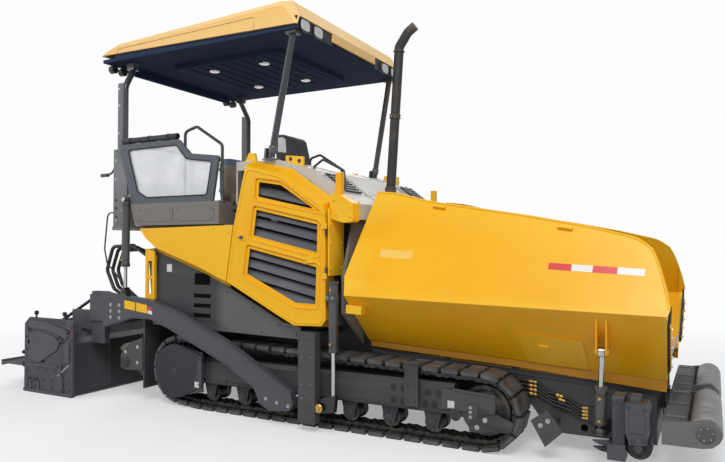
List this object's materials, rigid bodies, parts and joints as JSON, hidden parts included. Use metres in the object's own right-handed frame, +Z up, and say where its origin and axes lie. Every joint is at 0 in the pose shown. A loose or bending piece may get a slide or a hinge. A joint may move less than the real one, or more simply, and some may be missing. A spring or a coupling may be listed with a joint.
{
  "type": "tracked asphalt paver",
  "caption": "Crawler road paver with folding-wing hopper, slat conveyors, spreading augers, towed screed with lift cylinders, louvred side doors and an operator's platform under a canopy",
  "frame": {"origin": "on the ground, at the centre of the bounding box's bottom face", "axes": "+X is the way the machine drives, toward the hopper; +Y is its left side; +Z is up"},
  "size_m": [7.2199, 2.74, 3.866],
  "materials": {
    "yellow_paint": "semi-gloss",
    "canopy_paint": "semi-gloss",
    "dark_paint": "satin",
    "frame_paint": "satin",
    "grey_paint": "dusty",
    "hood_grey": "satin",
    "worn_steel": "worn",
    "track_steel": "dull",
    "rod_chrome": "polished",
    "black_rubber": "matte",
    "pane_glass": "clear",
    "seat_vinyl": "matte",
    "dark_plastic": "matte",
    "engine_iron": "dull"
  },
  "bodies": {
    "chassis": {"auger_frame": "frame_paint", "canopy_lamps": "dark_plastic", "canopy_liner": "dark_plastic", "canopy_posts": "dark_paint", "canopy_roof": "canopy_paint", "chassis_frame": "frame_paint", "control_console": "dark_plastic", "conveyor_chains": "worn_steel", "conveyor_deck": "worn_steel", "crawler_frames": "frame_paint", "crawler_tracks": "track_steel", "curtain_rolls": "black_rubber", "engine_hood": "hood_grey", "exhaust_stack": "dark_paint", "final_drives": "frame_paint", "front_apron": "grey_paint", "handrails": "dark_paint", "hood_corners": "yellow_paint", "hook_rollers": "black_rubber", "hopper_bulkhead": "frame_paint", "lower_side_panels": "dark_paint", "machine_hoses": "black_rubber", "machinery_blocks": "engine_iron", "operator_stands": "dark_paint", "panel_frames": "frame_paint", "platform_deck": "dark_paint", "rear_side_panels": "yellow_paint", "seat_pads": "seat_vinyl", "shield_panes": "pane_glass", "side_shields": "dark_paint", "tow_cylinders": "dark_paint", "tow_guides": "frame_paint", "track_wheels": "track_steel", "truck_hooks": "dark_paint", "wing_mountings": "frame_paint"},
    "screed": {"screed_body": "dark_paint", "screed_crown": "dark_paint", "screed_end_gates": "dark_paint", "screed_walkway": "frame_paint", "tow_arms": "dark_paint"},
    "lift_barrels": {"lift_barrels": "dark_paint"},
    "lift_rods": {"lift_rods": "rod_chrome"},
    "wing_right": {"hopper_wing_right": "yellow_paint", "wing_flap_right": "black_rubber"},
    "wing_left": {"hopper_wing_left": "yellow_paint", "wing_flap_left": "black_rubber"},
    "wing_barrel_right": {"wing_barrel_right": "dark_paint"},
    "wing_barrel_left": {"wing_barrel_left": "dark_paint"},
    "wing_rod_right": {"wing_rod_right": "rod_chrome"},
    "wing_rod_left": {"wing_rod_left": "rod_chrome"},
    "auger_right": {"auger_right": "worn_steel"},
    "auger_left": {"auger_left": "worn_steel"},
    "push_beam": {"push_beam": "grey_paint"},
    "push_roller_right": {"push_roller_right": "worn_steel"},
    "push_roller_left": {"push_roller_left": "worn_steel"},
    "door_right": {"side_door_right": "yellow_paint", "louvre_grille_right": "dark_plastic"},
    "door_left": {"side_door_left": "yellow_paint", "louvre_grille_left": "dark_plastic"}
  },
  "joints": [
    {"name": "screed_lift", "type": "hinge", "parent": "chassis", "child": "screed", "pos_m": [0.59, 0, 0.212], "axis": [0, 1, 0], "range_deg": [0, 5]},
    {"name": "lift_barrel_swing", "type": "hinge", "parent": "chassis", "child": "lift_barrels", "pos_m": [-1.76, 0, 2.07], "axis": [0, 1, 0], "range_deg": [-7.05, 0]},
    {"name": "lift_rod_slide", "type": "slide", "parent": "lift_barrels", "child": "lift_rods", "axis": [0, 0, 1], "range_m": [0, 0.19627]},
    {"name": "wing_fold_right", "type": "hinge", "parent": "chassis", "child": "wing_right", "pos_m": [0.85, -0.77, 0.71], "axis": [0.9984, 0, -0.0558], "range_deg": [0, 28]},
    {"name": "wing_barrel_swing_right", "type": "hinge", "parent": "chassis", "child": "wing_barrel_right", "pos_m": [2.82762, -0.99, 0.25389], "axis": [0.9984, 0, -0.0558], "range_deg": [0, 14.27]},
    {"name": "wing_rod_slide_right", "type": "slide", "parent": "wing_barrel_right", "child": "wing_rod_right", "axis": [0.0548, -0.1913, 0.98], "range_m": [-0.15477, 0]},
    {"name": "wing_fold_left", "type": "hinge", "parent": "chassis", "child": "wing_left", "pos_m": [0.85, 0.77, 0.71], "axis": [-0.9984, 0, 0.0558], "range_deg": [0, 28]},
    {"name": "wing_barrel_swing_left", "type": "hinge", "parent": "chassis", "child": "wing_barrel_left", "pos_m": [2.82762, 0.99, 0.25389], "axis": [-0.9984, 0, 0.0558], "range_deg": [0, 14.27]},
    {"name": "wing_rod_slide_left", "type": "slide", "parent": "wing_barrel_left", "child": "wing_rod_left", "axis": [0.0548, 0.1913, 0.98], "range_m": [-0.15477, 0]},
    {"name": "auger_spin_right", "type": "hinge", "parent": "chassis", "child": "auger_right", "pos_m": [-1.8, -0.6, 0.4], "axis": [0, 1, 0], "continuous": true},
    {"name": "auger_spin_left", "type": "hinge", "parent": "chassis", "child": "auger_left", "pos_m": [-1.8, 0.6, 0.4], "axis": [0, 1, 0], "continuous": true},
    {"name": "push_beam_swivel", "type": "hinge", "parent": "chassis", "child": "push_beam", "pos_m": [3.222, 0, 0.345], "axis": [0, 0, 1], "range_deg": [-3, 3]},
    {"name": "push_roller_spin_right", "type": "hinge", "parent": "push_beam", "child": "push_roller_right", "pos_m": [3.51, -0.65, 0.368], "axis": [0, 1, 0], "continuous": true},
    {"name": "push_roller_spin_left", "type": "hinge", "parent": "push_beam", "child": "push_roller_left", "pos_m": [3.51, 0.65, 0.368], "axis": [0, 1, 0], "continuous": true},
    {"name": "door_swing_right", "type": "hinge", "parent": "chassis", "child": "door_right", "pos_m": [0.648, -1.228, 1.55], "axis": [0, 0, 1], "range_deg": [0, 90]},
    {"name": "door_swing_left", "type": "hinge", "parent": "chassis", "child": "door_left", "pos_m": [0.648, 1.228, 1.55], "axis": [0, 0, -1], "range_deg": [0, 90]}
  ],
  "couplings": [
    {"joint": "lift_barrel_swing", "follows": "screed_lift", "ratio": -1.4054},
    {"joint": "lift_rod_slide", "follows": "screed_lift", "m_per_rad": 2.2434},
    {"joint": "wing_barrel_swing_right", "follows": "wing_fold_right", "ratio": 0.50889},
    {"joint": "wing_rod_slide_right", "follows": "wing_fold_right", "m_per_rad": -0.31567},
    {"joint": "wing_barrel_swing_left", "follows": "wing_fold_left", "ratio": 0.50889},
    {"joint": "wing_rod_slide_left", "follows": "wing_fold_left", "m_per_rad": -0.31567}
  ]
}
